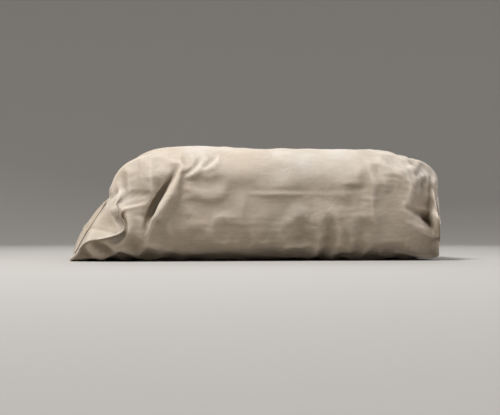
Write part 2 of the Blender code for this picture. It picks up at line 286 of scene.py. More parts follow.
# Kraft paper. A noise has a scale, a detail, a roughness and a distortion. A ramp has the values that
# it starts and ends at, and its results there where they aren't 0 and 1. A tint multiplies a colour.
FIBRES = (260.0, 5.0, 0.65, 0.0)
FINE_GRAIN = (900.0, 3.0, 0.6, 0.0)
BLOTCHES = (11.0, 6.0, 0.55, 0.6)
CLOUDS = (3.6, 3.0, 0.5, 0.0)
SMUDGES = (13.0, 6.0, 0.6, 0.4)
CREASED_PLACES = (9.0, 2.0, 0.5, 0.0)
FIBRE_RAMP = (0.38, 0.68, 0.0, 0.45)
GRAIN_RAMP = (0.5, 0.8, 0.0, 0.35)
BLOTCH_RAMP = (0.48, 0.75, 0.0, 0.30)
CLOUD_RAMP = (0.35, 0.65)
SMUDGE_RAMP = (0.36, 0.80)
# The dust ramp by how far a face points up starts below level, so it also paints the top lighter and the
# lower side darker, as painted light and shade
UPWARD_RAMP = (-0.45, 0.95)
CREASED_RAMP = (0.42, 0.66)
CREASE_RAMP = (0.0, 0.16)
ROUGHNESS_RAMP = (0.3, 0.7, 0.62, 0.78)
LIGHT_TINT = (1.22, 1.22, 1.22)
DARK_TINT = (0.74, 0.74, 0.74)
CLOUD_TINT = (0.93, 0.95, 0.97)
RUBBED_TINT = (1.55, 1.62, 1.75)
# Painted shade in hollows and creases: the tint below and its share two lines down
HOLLOW_SHADE_TINT = (0.50, 0.47, 0.42)
WORN_SHARE = 0.6
HOLLOW_SHADE_SHARE = 0.7
# Cement dust colour, also painted light on upward faces; the film whitens every face that points up
DUST_AND_TOP_LIGHT_COLOUR = (0.60, 0.58, 0.55, 1)
DUST_AND_TOP_LIGHT_FILM = 0.35
DUST_ROUGHNESS = 0.12
SPECULAR = 0.35
SHEEN = 0.06
SHEEN_ROUGHNESS = 0.5
CREASE_SCALE = 43.0
FACET_SCALE = 95.0
CELL_WANDER_SCALE = 30.0
CELL_WANDER_DETAIL = 2.0
CELL_WANDER_SHARE = 0.02
CREASE_HEIGHT = 0.42
FACET_HEIGHT = 0.35
FIBRE_HEIGHT = 0.20
GRAIN_HEIGHT = 0.08
BUMP_STRENGTH = 0.55
BUMP_DISTANCE = 0.0011

# Each light: name, place, the point it aims at, size, power and colour. Then the world.
LIGHTS = (
    ("key_light", (-0.85, -0.75, 2.20), (0, 0, 0.09), (0.8, 0.6), 80, (1.0, 0.985, 0.965)),
    ("back_light", (0.50, 1.50, 1.40), (0, 0, 0.1), (1.4, 0.9), 16, (1.0, 0.985, 0.97)),
    ("cool_light", (1.40, -1.05, 1.00), (0.30, -0.10, 0.06), (0.5, 0.5), 8, (0.93, 0.92, 1.0)),
)
WORLD_COLOUR = (1.0, 0.96, 0.91, 1)
WORLD_STRENGTH = 0.08

# Camera and stage
SENSOR_WIDTH = 36
CAMERA_DISTANCE = 1.75
CAMERA_AZIMUTH = math.radians(-8)
CAMERA_HEIGHT = 0.045
CAMERA_AIM = (0.0, 0.0, 0.088)
BAG_SHARE_OF_FRAME = 0.78
STAGE_RADIUS = 2.0
STAGE_SWEEP = 1.2
STAGE_HEIGHT = 3.4
STAGE_SWEEP_STEPS = 16
STAGE_TURN_STEPS = 96
FLOOR_COLOUR = (0.380, 0.369, 0.352)
FLOOR_ROUGHNESS = 0.9


def smooth(share):
    """Rises from 0 to 1 with a soft start and a soft end."""
    share = np.clip(share, 0.0, 1.0)
    return share * share * (3 - 2 * share)


def quarter_round(share):
    """Rises from 0 to 1 as a quarter of an oval does, a little flatter than an ellipse."""
    return (1 - (1 - np.clip(share, 0.0, 1.0)) ** SHOULDER_POWER) ** (1 / SHOULDER_POWER)


def shoulder_rise(from_end, shoulder):
    """The rise of the top from an end, with the bend where it turns flat made softer."""
    spread = np.minimum(SHOULDER_SOFTNESS, from_end / 2)
    rises = [quarter_round((from_end + share * spread) / shoulder) for share in (-1, -0.5, 0, 0.5, 1)]
    return sum(rises) / len(rises)


def ring_places():
    """Shares of the half length where the paper has rings, closer together at the rims."""
    inner = HALF_LENGTH - RIM_STEPS[-1]
    middle = np.linspace(-inner, inner, CELLS_ALONG - 2 * (len(RIM_STEPS) - 1) + 1)
    rims = HALF_LENGTH - np.array(RIM_STEPS[:-1])
    return np.concatenate([-rims, middle, rims[::-1]]) / HALF_LENGTH


def ring_shares(across, up):
    """Shares v and w of the points of a ring: up the far side, over the top, down and back."""
    v = np.concatenate([np.ones(len(up) - 1), across[::-1][:-1], -np.ones(len(up) - 1), across[:-1]])
    w = np.concatenate([up[:-1], np.ones(len(across) - 1), up[::-1][:-1], -np.ones(len(across) - 1)])
    return v, w


class Section:
    """A quarter of the body's section, from the middle of its side to the middle of its top.

    It is read by arc length, from 0 to 1 up the side and from 0 to 1 across the top.
    """

    STEPS = 4000

    def __init__(self):
        angle = np.linspace(0, math.pi / 2, self.STEPS)
        self.across = np.cos(angle) ** (2 / SECTION_POWER)
        raised = np.sin(angle) ** (2 / SECTION_POWER) * FLAT_PRESS
        pressed = 1 - np.log1p(np.exp(FLAT_SHARPNESS * (1 - raised))) / FLAT_SHARPNESS
        self.up = (pressed - pressed[0]) / (pressed[-1] - pressed[0])
        step = np.hypot(np.diff(self.across) * BODY_HALF_WIDTH, np.diff(self.up) * THICKNESS / 2)
        self.length = np.concatenate([[0], np.cumsum(step)])
        self.corner = np.interp(SECTION_CORNER, angle, self.length)

    def read(self, v, w):
        on_side = np.abs(v) >= 1
        up_side = self.corner * np.abs(w)
        across_top = self.length[-1] - (self.length[-1] - self.corner) * np.abs(v)
        place = np.where(on_side, up_side, across_top)
        across = np.interp(place, self.length, self.across)
        up = np.interp(place, self.length, self.up)
        return np.sign(v) * across, np.sign(w) * up


def pinch_depth(from_end, rise, ear):
    """How far the side wall is drawn in behind an ear. Rise is the share of the half height."""
    above = rise - ear.at - ear.climb * from_end
    run_out = np.where(above > 0, ear.above, ear.below)
    share = np.clip(1 - np.abs(above) / run_out, 0.0, 1.0) ** PINCH_SHARPNESS
    start = EAR_FLAP + PINCH_START
    length = (PINCH_LENGTH - start) * (1 - ear.shorter * np.clip(above, 0.0, 1.0))
    share = share * smooth((from_end - EAR_FLAP) / PINCH_START) * (1 - smooth((from_end - start) / length))
    return PINCH_DEPTH * ear.depth * share


def sack_form(u, v, w):
    """The smooth form: a rounded oblong that closes into a folded hexagon at each end."""
    right = u >= 0
    lean = np.where(right, 0.0, LEFT_LEAN)
    from_end = HALF_LENGTH * (1 - np.abs(u))
    end_low = np.where(right, RIGHT_END_LOW, LEFT_END_LOW)
    end_high = end_low + 2 * END_HALF_HEIGHT * np.cos(lean)
    shoulder = np.where(right, RIGHT_SHOULDER, LEFT_SHOULDER)
    low = end_low * (1 - quarter_round(from_end / BOTTOM_SHOULDER))
    high = end_high + (THICKNESS - end_high) * shoulder_rise(from_end, shoulder)
    middle = (low + high) / 2
    half = (high - low) / 2
    section_across, section_up = Section().read(v, w)
    end_y = v * (END_HALF_WIDTH - END_HALF_HEIGHT * np.abs(w))
    end_z = middle + w * half
    body_y = section_across * BODY_HALF_WIDTH
    body_z = middle + section_up * half
    blend = smooth(from_end / BODY_BLEND)
    y = end_y + (body_y - end_y) * blend
    z = end_z + (body_z - end_z) * blend
    for (end, side), ear in EARS.items():
        here = (right == (end == "right")) & (v == (-1 if side == "near" else 1))
        y -= np.where(here, v * pinch_depth(from_end, (z - middle) / half, ear), 0.0)
    fade = np.clip(1 - from_end / EAR_SWEEP_FADE, 0.0, 1.0)
    crown = END_BULGE * (1 - w * w) * (1 - v * v) * (from_end == 0)
    sweep = EAR_SWEEP * (1 - np.abs(w)) * v ** 4 * fade
    lean_share = 1 - smooth(from_end / LEAN_REACH)
    rise = np.minimum(z - end_low, 2 * END_HALF_HEIGHT * np.cos(lean))
    x = np.abs(u) * (HALF_LENGTH - np.where(right, END_BULGE, 0.0)) + crown - sweep
    x -= np.tan(lean) * lean_share * rise
    return np.stack([np.where(right, x, -x), y, z], axis=-1)


def noise_field(points, scale, seed):
    """Smooth noise from -1 to 1 at the points."""
    places = (points * scale + NOISE_OFFSET * seed).reshape(-1, 3).tolist()
    return np.array([noise.noise(place) for place in places]).reshape(points.shape[:-1])


def waves(points, kinds):
    """The height of several kinds of wave at the points, each with its height, scale and seed."""
    return sum(height * noise_field(points, scale, seed) for height, scale, seed in kinds)


def comes_and_goes(points, base, contrast, scale, seed):
    """A share from 0 to 1 that changes softly over the points."""
    return smooth(base + contrast * noise_field(points, scale, seed))


def mesh_object(name, points, quads):
    mesh = bpy.data.meshes.new(name)
    mesh.from_pydata(points.tolist(), [], quads.tolist())
    mesh.update()
    obj = bpy.data.objects.new(name, mesh)
    bpy.context.scene.collection.objects.link(obj)
    return obj


def apply_modifiers(obj):
    bpy.context.view_layer.update()
    graph = bpy.context.evaluated_depsgraph_get()
    mesh = bpy.data.meshes.new_from_object(obj.evaluated_get(graph))
    old = obj.data
    name = old.name
    obj.modifiers.clear()
    obj.data = mesh
    bpy.data.meshes.remove(old)
    mesh.name = name


def step_along(grid):
    return np.gradient(grid, axis=0)


def step_around(grid, closed):
    if closed:
        return (np.roll(grid, -1, axis=1) - np.roll(grid, 1, axis=1)) / 2
    return np.gradient(grid, axis=1)


def grid_normals(grid, closed):
    normals = np.cross(step_around(grid, closed), step_along(grid))
    return normals / (np.linalg.norm(normals, axis=2, keepdims=True) + TINY)


def finer_tube(grid):
    """The same tube with a point halfway along each step, on a smooth curve through its neighbours."""
    for axis in (0, 1):
        rows = np.moveaxis(grid, axis, 0)
        if axis == 1:
            padded = np.concatenate([rows[-1:], rows, rows[:2]])
        else:
            padded = np.concatenate([2 * rows[:1] - rows[1:2], rows, 2 * rows[-1:] - rows[-2:-1]])
        between = (9 * (padded[1:-2] + padded[2:-1]) - padded[:-3] - padded[3:]) / 16
        count = len(rows) + len(between)
        finer = np.empty((count, *rows.shape[1:]), grid.dtype)
        finer[0::2] = rows
        finer[1::2] = between
        grid = np.moveaxis(finer, 0, axis)
    return grid


def shifted(grid, along, around):
    """The values of a tube's points at the first and at the second end of each spring."""
    other = np.roll(grid, -around, axis=1) if around else grid
    return (grid[:-1], other[1:]) if along else (grid, other)


def add_pull(total, pull, along, around):
    """Adds each spring's pull to both of its ends."""
    first = total[:-1] if along else total
    first += pull
    second = total[1:] if along else total
    second -= np.roll(pull, around, axis=1) if around else pull


def mean_bend(grid):
    """The step from each point to the mean of its four neighbours.

    At an end ring it is half of the step to the mean of the two neighbours on the ring.
    """
    bend = np.zeros_like(grid)
    bend[1:-1] = (grid[2:] + grid[:-2]) / 4 - grid[1:-1] / 2
    bend += (np.roll(grid, 1, axis=1) + np.roll(grid, -1, axis=1)) / 4 - grid / 2
    return bend


class PaperNet:
    """A tube of paper as a net of springs along the sides and diagonals of its cells.

    The springs are a little longer than the form they lie on, so the paper buckles. The powder
    inside resists a dent more than it resists paper that lifts off it. The end rings stay.
    """

    def __init__(self, form):
        self.form = form.astype(np.float32)
        self.normals = grid_normals(self.form, True)

    def rest_length(self, slack_along, slack_around, along, around):
        first, second = shifted(self.form, along, around)
        span = second - first
        length = np.linalg.norm(span, axis=2) + TINY
        lengthwise = (span[..., 0] / length) ** 2
        start_along, end_along = shifted(slack_along, along, around)
        start_around, end_around = shifted(slack_around, along, around)
        slack = (start_along + end_along) / 2 * lengthwise
        slack += (start_around + end_around) / 2 * (1 - lengthwise)
        return (length * (1 + slack)).astype(np.float32)

    def relax(self, points, slack_along, slack_around, steps, stiffness):
        rest = [self.rest_length(slack_along, slack_around, *spring) for spring in SPRINGS]
        points = points.astype(np.float32)
        speed = np.zeros_like(points)
        fixed = points[0].copy(), points[-1].copy()
        for _ in range(steps):
            total = np.zeros_like(points)
            for spring, length in zip(SPRINGS, rest):
                first, second = shifted(points, *spring)
                span = second - first
                now = np.sqrt(np.einsum("ijk,ijk->ij", span, span))
                add_pull(total, span * (1 - length / now)[..., None], *spring)
            offset = points - self.form
            rise = np.einsum("ijk,ijk->ij", offset, self.normals)
            hold = np.where(rise < 0, HOLD_IN, HOLD_OUT)
            push = total * (SPRING_STEP / (2 * len(SPRINGS)))
            push -= stiffness * mean_bend(mean_bend(offset))
            push -= (hold * rise)[..., None] * self.normals
            speed = speed * MOMENTUM + push
            points += speed
            np.maximum(points[..., 2], 0, out=points[..., 2])
            points[0], points[-1] = fixed
        return points


def move_ears(points):
    """Bends the tip of each ear out of the symmetric shape."""
    for (end, side), ear in EARS.items():
        x = HALF_LENGTH - EAR_SWEEP if end == "right" else -HALF_LENGTH + EAR_SWEEP
        x += 0.0 if end == "right" else END_HALF_HEIGHT * math.sin(LEFT_LEAN)
        y = -END_HALF_WIDTH if side == "near" else END_HALF_WIDTH
        tip = np.array((x, y, END_HALF_HEIGHT))
        near = smooth(1 - np.linalg.norm(points - tip, axis=-1) / TIP_REACH)
        points = points + near[..., None] * np.array(ear.tip)
    return points


def fold_rise(x, z, fold):
    """The height that a fold gives the points: its groove, and the lip beside it."""
    line = np.array(fold.line, float) * MILLIMETRE
    nearest = np.full(x.shape, np.inf)
    aside = np.zeros(x.shape)
    place = np.zeros(x.shape)
    lengths = np.linalg.norm(np.diff(line, axis=0), axis=1)
    done = 0.0
    for start, end, length in zip(line[:-1], line[1:], lengths):
        run = (end - start) / length
        along = np.clip((x - start[0]) * run[0] + (z - start[1]) * run[1], 0, length)
        off_x = x - start[0] - along * run[0]
        off_z = z - start[1] - along * run[1]
        distance = np.hypot(off_x, off_z)
        closer = distance < nearest
        nearest = np.where(closer, distance, nearest)
        aside = np.where(closer, np.copysign(distance, off_z * run[0] - off_x * run[1]), aside)
        place = np.where(closer, (done + along) / lengths.sum(), place)
        done += length
    taper = smooth(np.minimum(place, 1 - place) / FOLD_TAPER)
    narrowed = (FOLD_END_WIDTH + (1 - FOLD_END_WIDTH) * taper) * MILLIMETRE
    width = fold.width * narrowed
    sharp_side = aside * fold.lip_at > 0
    rounded = np.hypot(nearest, FOLD_ROUND) - FOLD_ROUND
    groove = -fold.depth * np.exp(-rounded / np.where(sharp_side, FOLD_SHARP_SIDE, 1.0) / width)
    lip = fold.lip * np.exp(-((aside - fold.lip_at * narrowed) / (FOLD_LIP_SPREAD * width)) ** 2)
    return (groove + lip) * taper * MILLIMETRE


def fold_side(points, side, folds, dents=()):
    """Creases and dents the near side, which is -1, or the far side, which is 1."""
    x, y, z = np.moveaxis(points, -1, 0)
    normals = grid_normals(points, True)
    facing = smooth(side * normals[..., 1] * FOLD_FACING) * (side * y > 0)
    rise = np.zeros(x.shape)
    for fold in folds:
        rise += fold_rise(x, z, fold)
    for at_x, at_z, half_width, half_height, depth in dents:
        off = np.hypot((x / MILLIMETRE - at_x) / half_width, (z / MILLIMETRE - at_z) / half_height)
        rise -= depth * MILLIMETRE * np.exp(-off ** 2)
    return points + normals * (rise * facing)[..., None]


def uneven(points):
    """Makes the top and the sides as uneven as the powder below them. The bottom stays flat."""
    from_end = HALF_LENGTH - np.abs(points[..., 0])
    share = smooth(points[..., 2] / WAVES_FROM_FLOOR - RISE_FROM)
    share *= smooth(from_end / WAVES_FROM_END - RISE_FROM)
    rise = waves(points, BODY_WAVES)
    return points + grid_normals(points, True) * (rise * share)[..., None]


def facets(points, scale, seed):
    """Flat facets between sharp creases: waves with straight flanks, laid over each other."""
    wander = FACET_WANDER * noise_field(points, scale / FACET_WANDER_LENGTH, seed)
    total = np.zeros(points.shape[:-1])
    for number in range(FACET_WAVES):
        turn = seed + FACET_TURN * number
        tilt = math.sin(FACET_TILT * turn)
        level = math.sqrt(1 - tilt * tilt)
        direction = np.array((level * math.cos(turn), level * math.sin(turn), tilt))
        place = points @ direction * scale * (1 + FACET_SPREAD * number) + wander
        total += np.abs(place % 2 - 1) - 0.5
    return total


def crumple(points):
    """Presses faint facets into the paper, and deeper ones into the corners that were folded most."""
    normals = grid_normals(points, True)
    corners = np.zeros(points.shape[:2])
    for place, reach in CRUMPLED_CORNERS:
        corners = np.maximum(corners, smooth(1 - np.linalg.norm(points - np.array(place), axis=-1) / reach))
    rise = sum(height * facets(points, scale, seed) for height, scale, seed in CORNER_FACETS) * corners
    patches = comes_and_goes(points, *FACETS_COME)
    patches *= smooth(points[..., 2] / FACETS_FROM_FLOOR - RISE_FROM)
    rise += sum(height * facets(points, scale, seed) for height, scale, seed in BODY_FACETS) * patches
    return points + normals * rise[..., None]


def slack_of(points):
    """Shares by which the paper is longer than the form, lengthwise and around the sack."""
    x, y, z = np.moveaxis(points, -1, 0)
    on_side = smooth((np.abs(y) - SIDE_START) / SIDE_LENGTH)
    from_left = (x + HALF_LENGTH) / SLACK_LEFT_REACH
    from_right = (HALF_LENGTH - x) / SLACK_RIGHT_REACH
    along = SLACK_BODY + SLACK_LEFT * np.exp(-from_left ** 2) + SLACK_RIGHT * np.exp(-from_right ** 2)
    around = SLACK_BODY + SLACK_SIDE * on_side
    patches = SLACK_LEAST + SLACK_ADDED * comes_and_goes(points, *SLACK_COMES)
    patches *= 1 - (1 - SLACK_ON_TOP) * smooth((z - TOP_START) / TOP_LENGTH)
    return along * patches, around * patches


def relaxed(tube, share, steps, stiffness):
    """The tube after a share of its slack has turned into buckles."""
    net = PaperNet(tube)
    start = tube + net.normals * (waves(tube, FIRST_WAVES) * share)[..., None]
    along, around = slack_of(tube)
    return net.relax(start, along * share, around * share, steps, stiffness).astype(float)


def tube_quads(rows, columns):
    index = np.arange(rows * columns).reshape(rows, columns)
    around = np.roll(index, -1, axis=1)
    quads = np.stack([index[:-1], around[:-1], around[1:], index[1:]], axis=-1)
    return quads.reshape(-1, 4)


def ring_on_lattice(ring, lattice):
    """Lays a ring round the border of a lattice whose rows run across and whose columns run up."""
    across, up = lattice.shape[0] - 1, lattice.shape[1] - 1
    lattice[-1, :-1] = ring[:up]
    lattice[1:, -1] = ring[up : up + across][::-1]
    lattice[0, 1:] = ring[up + across : 2 * up + across][::-1]
    lattice[:-1, 0] = ring[2 * up + across :]
    return lattice


def lattice_quads(index, outward):
    corners = [index[:-1, :-1], index[1:, :-1], index[1:, 1:], index[:-1, 1:]]
    quads = np.stack(corners, axis=-1).reshape(-1, 4)
    return quads if outward else quads[:, ::-1]


def step_up(distance, width):
    """A soft step from 0 to 1 where the distance passes zero."""
    return smooth(0.5 + distance / width)


def end_relief(across, up):
    """Height of the folded layers on an end face: two flaps that narrow at 45 degrees and overlap."""
    flap_end = END_HALF_WIDTH - 2 * END_HALF_HEIGHT
    aside = np.abs(across)
    lower = step_up(FLAP_OVERLAP / 2 - up, FLAP_EDGE) * step_up(flap_end - up - aside, FLAP_EDGE)
    upper = step_up(FLAP_OVERLAP / 2 + up, FLAP_EDGE) * step_up(flap_end + up - aside, FLAP_EDGE)
    tuck = np.exp(-np.abs(up) / TUCK_CREASE_WIDTH) * step_up(aside - flap_end, TUCK_CREASE_RISE)
    return LAYER_HEIGHT * (lower + UPPER_FLAP_SHARE * upper) - TUCK_CREASE_DEPTH * tuck


def end_face(right, ring):
    """The folded end, on the finer lattice, with the given ring as its border."""
    v = np.linspace(-1, 1, 2 * CELLS_ACROSS + 1)[:, None]
    w = np.linspace(-1, 1, 2 * CELLS_UP + 1)[None]
    v, w = np.broadcast_arrays(v, w)
    face = move_ears(sack_form(np.full(v.shape, 1.0 if right else -1.0), v, w))
    outward = grid_normals(face, False) * (-1 if right else 1)
    across = v * (END_HALF_WIDTH - END_HALF_HEIGHT * np.abs(w))
    relief = end_relief(across, w * END_HALF_HEIGHT) + waves(face, END_WAVES)
    border = smooth((1 - np.abs(v)) / END_FADE_ACROSS) * smooth((1 - np.abs(w)) / END_FADE_UP)
    face = face + outward * (relief * border)[..., None]
    return ring_on_lattice(ring, face), outward


def on_face(face, across, up):
    """Points of an end face at places across and up it, in metres, between its lattice points."""
    w = up / END_HALF_HEIGHT
    v = across / (END_HALF_WIDTH - END_HALF_HEIGHT * np.abs(w))
    row = np.clip((v + 1) / 2 * (face.shape[0] - 1), 0, face.shape[0] - INSIDE_LAST_CELL)
    column = np.clip((w + 1) / 2 * (face.shape[1] - 1), 0, face.shape[1] - INSIDE_LAST_CELL)
    i, j = row.astype(int), column.astype(int)
    s, t = (row - i)[..., None], (column - j)[..., None]
    near = face[i, j] * (1 - t) + face[i, j + 1] * t
    far = face[i + 1, j] * (1 - t) + face[i + 1, j + 1] * t
    return near * (1 - s) + far * s


def above_face(face, outward, across, up, height):
    """Points that lie at a height above an end face."""
    return on_face(face, across, up) + on_face(outward, across, up) * height[..., None]


def sheet_object(name, grid, outward, thickness):
    """A thin sheet with the given outer face, its thickness below it."""
    quads = lattice_quads(np.arange(grid.shape[0] * grid.shape[1]).reshape(grid.shape[:2]), outward)
    sheet = mesh_object(name, grid.reshape(-1, 3), quads)
    paper = sheet.modifiers.new("Paper", "SOLIDIFY")
    paper.thickness = thickness
    paper.offset = -1
    apply_modifiers(sheet)
    sheet.data.shade_smooth()
    sheet.data.set_sharp_from_angle(angle=SHARP_ANGLE)
    return sheet


def make_patch(name, face, outward, right, seed, bump):
    """The cover strip: it drapes over the flaps and a sleeve below, and its edges lift here and there."""
    across = np.linspace(-PATCH_HALF_LENGTH, PATCH_HALF_LENGTH, PATCH_POINTS[0])[:, None]
    up = np.linspace(-PATCH_HALF_HEIGHT, PATCH_HALF_HEIGHT, PATCH_POINTS[1])[None]
    across, up = np.broadcast_arrays(across, up)
    places = np.stack([across, up, np.full(across.shape, float(seed))], axis=-1)
    ragged = PATCH_RAGGED * noise_field(places, PATCH_RAGGED_SCALES[0], seed)
    across = across + ragged * (np.abs(across) / PATCH_HALF_LENGTH) ** PATCH_RAGGED_POWER
    ragged = PATCH_RAGGED * noise_field(places, PATCH_RAGGED_SCALES[1], seed + 1)
    up = up + ragged * (np.abs(up) / PATCH_HALF_HEIGHT) ** PATCH_RAGGED_POWER
    to_edge = np.minimum(PATCH_HALF_LENGTH - np.abs(across), PATCH_HALF_HEIGHT - np.abs(up))
    lift = np.exp(-np.maximum(to_edge, 0) / PATCH_CURL_WIDTH)
    lift *= PATCH_CURL * comes_and_goes(places, *CURL_COMES, seed + 2)
    bubble = PATCH_BUBBLES * comes_and_goes(places, *BUBBLES_COME, seed + 3)
    over_sleeve = smooth((across - PATCH_HALF_LENGTH + VALVE_BUMP_LENGTH) / VALVE_BUMP_RISE)
    over_sleeve *= smooth((VALVE_HALF_HEIGHT + VALVE_BUMP_SIDE - np.abs(up)) / VALVE_BUMP_SIDE)
    height = PATCH_GAP + PATCH_THICKNESS + lift + bubble + bump * over_sleeve
    return sheet_object(name, above_face(face, outward, across, up, height), right, PATCH_THICKNESS)


def make_valve(face, outward):
    """The mouth of the filling sleeve: a pressed paper tube that peeps out from under the patch."""
    first = PATCH_HALF_LENGTH - VALVE_HIDDEN
    last = PATCH_HALF_LENGTH + VALVE_SHOWS
    across = np.linspace(first, last, VALVE_POINTS[0])[:, None]
    up = np.linspace(-VALVE_HALF_HEIGHT, VALVE_HALF_HEIGHT, VALVE_POINTS[1])[None]
    across, up = np.broadcast_arrays(across, up)
    past_patch = across - PATCH_HALF_LENGTH
    open_share = smooth((past_patch + VALVE_OPENS_BEFORE) / (VALVE_SHOWS + VALVE_OPENS_BEFORE))
    belly = 1 - (up / VALVE_HALF_HEIGHT) ** 2
    low = np.full(across.shape, VALVE_PAPER)
    high = low + VALVE_PAPER * VALVE_LAYER_GAP + VALVE_OPENING * open_share * belly
    sheets = []
    for number, height in enumerate((low, high)):
        grid = above_face(face, outward, across, up, height)
        sheets.append(sheet_object(f"valve_layer_{number}", grid, True, VALVE_PAPER))
    return join_objects("valve_mouth", sheets)


def join_objects(name, objects):
    """One object in place of several."""
    joined = bmesh.new()
    for obj in objects:
        joined.from_mesh(obj.data)
        bpy.data.objects.remove(obj)
    mesh = bpy.data.meshes.new(name)
    joined.to_mesh(mesh)
    joined.free()
    result = bpy.data.objects.new(name, mesh)
    bpy.context.scene.collection.objects.link(result)
    mesh.shade_smooth()
    mesh.set_sharp_from_angle(angle=SHARP_ANGLE)
    return result


def closed_tube(name, tube, faces):
    """One closed mesh of a tube of rings and the two lattices that close it."""
    rows, columns = tube.shape[:2]
    points = [tube.reshape(-1, 3)]
    quads = [tube_quads(rows, columns)]
    count = rows * columns
    for face, row in zip(faces, (0, rows - 1)):
        index = np.full(face.shape[:2], -1)
        ring_on_lattice(np.arange(columns) + row * columns, index)
        inside = index < 0
        index[inside] = np.arange(inside.sum()) + count
        count += inside.sum()
        points.append(face[inside])
        quads.append(lattice_quads(index, row > 0))
    obj = mesh_object(name, np.concatenate(points), np.concatenate(quads))
    obj.data.shade_smooth()
    return obj


def points_of(mesh):
    points = np.empty(len(mesh.vertices) * 3)
    mesh.vertices.foreach_get("co", points)
    return points.reshape(-1, 3)


def normals_of(mesh):
    normals = np.empty(len(mesh.vertices) * 3)
    mesh.vertex_normals.foreach_get("vector", normals)
    return normals.reshape(-1, 3)


def neighbour_mean(mesh, values):
    """The mean of each point's neighbours along the edges."""
    edges = np.empty(len(mesh.edges) * 2, np.int32)
    mesh.edges.foreach_get("vertices", edges)
    first, second = edges.reshape(-1, 2).T
    count = np.bincount(first, minlength=len(values)) + np.bincount(second, minlength=len(values))
    columns = []
    for column in values.reshape(len(values), -1).T:
        total = np.bincount(first, column[second], len(values))
        total += np.bincount(second, column[first], len(values))
        columns.append(total / count)
    return np.stack(columns, axis=1).reshape(values.shape)


def rubbed_rims(tube):
    """How much each point of the tube is rubbed pale because it lies at the rim of a folded end."""
    rings = ring_places()
    places = np.interp(np.linspace(0, len(rings) - 1, len(tube)), np.arange(len(rings)), rings)
    near = smooth(RIM_RUB_AT_RIM - HALF_LENGTH * (1 - np.abs(places)) / RIM_RUB)
    return RIM_RUB_SHARE * near[:, None] * comes_and_goes(tube, *RUB_COMES)


def mark_wear_and_hollow_shade(obj, rims):
    """Keeps for the material where the paper stands out and is rubbed, or lies in and gets painted shade.
    """
    mesh = obj.data
    points = points_of(mesh)
    normals = normals_of(mesh)
    curve = ((points - neighbour_mean(mesh, points)) * normals).sum(axis=1)
    for _ in range(WEAR_AND_HOLLOW_SHADE_SMOOTHED):
        curve = neighbour_mean(mesh, curve)
    worn = smooth(curve / WORN_CURVE - WEAR_AND_HOLLOW_SHADE_FROM)
    worn[: rims.size] = np.maximum(worn[: rims.size], rims.ravel())
    hollow_shade = smooth(-curve / HOLLOW_SHADE_CURVE - WEAR_AND_HOLLOW_SHADE_FROM)
    for name, values in (("worn", worn), ("hollow_shade", hollow_shade)):
        layer = mesh.attributes.new(name, "FLOAT", "POINT")
        layer.data.foreach_set("value", values.astype(np.float32))


def powder_grid(grid):
    """Some of the points of a grid of paper, moved in to where the powder is."""
    inner = grid[::POWDER_STEP, ::POWDER_STEP] * POWDER_SHARE
    inner += (1 - POWDER_SHARE) * np.array((0, 0, THICKNESS / 2))
    past_start = np.abs(inner[..., 0]) - POWDER_TAPER_START
    inner[..., 1] *= 1 - POWDER_TAPER * smooth(past_start / POWDER_TAPER_LENGTH)
    return inner


def make_powder(tube, faces):
    """The powder follows the paper further in, and keeps out of the ears."""
    return closed_tube("cement_powder", powder_grid(tube), [powder_grid(face) for face in faces])


def make_sack():
    """The paper, the powder, both patches and the valve, all shaped from the same tube."""
    v, w = ring_shares(np.linspace(-1, 1, CELLS_ACROSS + 1), np.linspace(-1, 1, CELLS_UP + 1))
    u, v, w = np.broadcast_arrays(ring_places()[:, None], v[None], w[None])
    tube = uneven(move_ears(sack_form(u, v, w)))
    tube = fold_side(tube, -1, NEAR_FOLDS, NEAR_DENTS)
    tube = fold_side(tube, 1, FAR_FOLDS, FAR_DENTS)
    tube = relaxed(tube, 1.0, COARSE_STEPS, COARSE_STIFFNESS)
    tube = crumple(finer_tube(tube))
    tube = fold_side(tube, -1, NEAR_SHARP_FOLDS)
    tube = fold_side(tube, 1, FAR_SHARP_FOLDS)
    tube = relaxed(tube, FINE_SHARE, FINE_STEPS, FINE_STIFFNESS)
    left, left_outward = end_face(False, tube[0])
    right, right_outward = end_face(True, tube[-1])
    paper = closed_tube("sack_paper", tube, (left, right))
    mark_wear_and_hollow_shade(paper, rubbed_rims(tube))
    powder = make_powder(tube, (left, right))
    left_patch = make_patch("patch_left", left, left_outward, False, LEFT_PATCH_SEED, 0.0)
    right_patch = make_patch("patch_right", right, right_outward, True, RIGHT_PATCH_SEED, VALVE_BUMP)
    valve = make_valve(right, right_outward)
    return paper, powder, left_patch, right_patch, valve


def make_camera():
    aim = Vector(CAMERA_AIM)
    data = bpy.data.cameras.new("camera")
    camera = bpy.data.objects.new("camera", data)
    bpy.context.scene.collection.objects.link(camera)
    back = Vector((math.sin(CAMERA_AZIMUTH), -math.cos(CAMERA_AZIMUTH), 0))
    camera.location = Vector((0, 0, CAMERA_HEIGHT)) + back * CAMERA_DISTANCE
    camera.rotation_mode = "QUATERNION"
    camera.rotation_quaternion = (aim - camera.location).to_track_quat("-Z", "Y")
    nearer = CAMERA_DISTANCE - BODY_HALF_WIDTH
    seen_width = 2 * HALF_LENGTH / BAG_SHARE_OF_FRAME
    data.sensor_width = SENSOR_WIDTH
    data.lens = SENSOR_WIDTH * nearer / seen_width
    bpy.context.scene.camera = camera


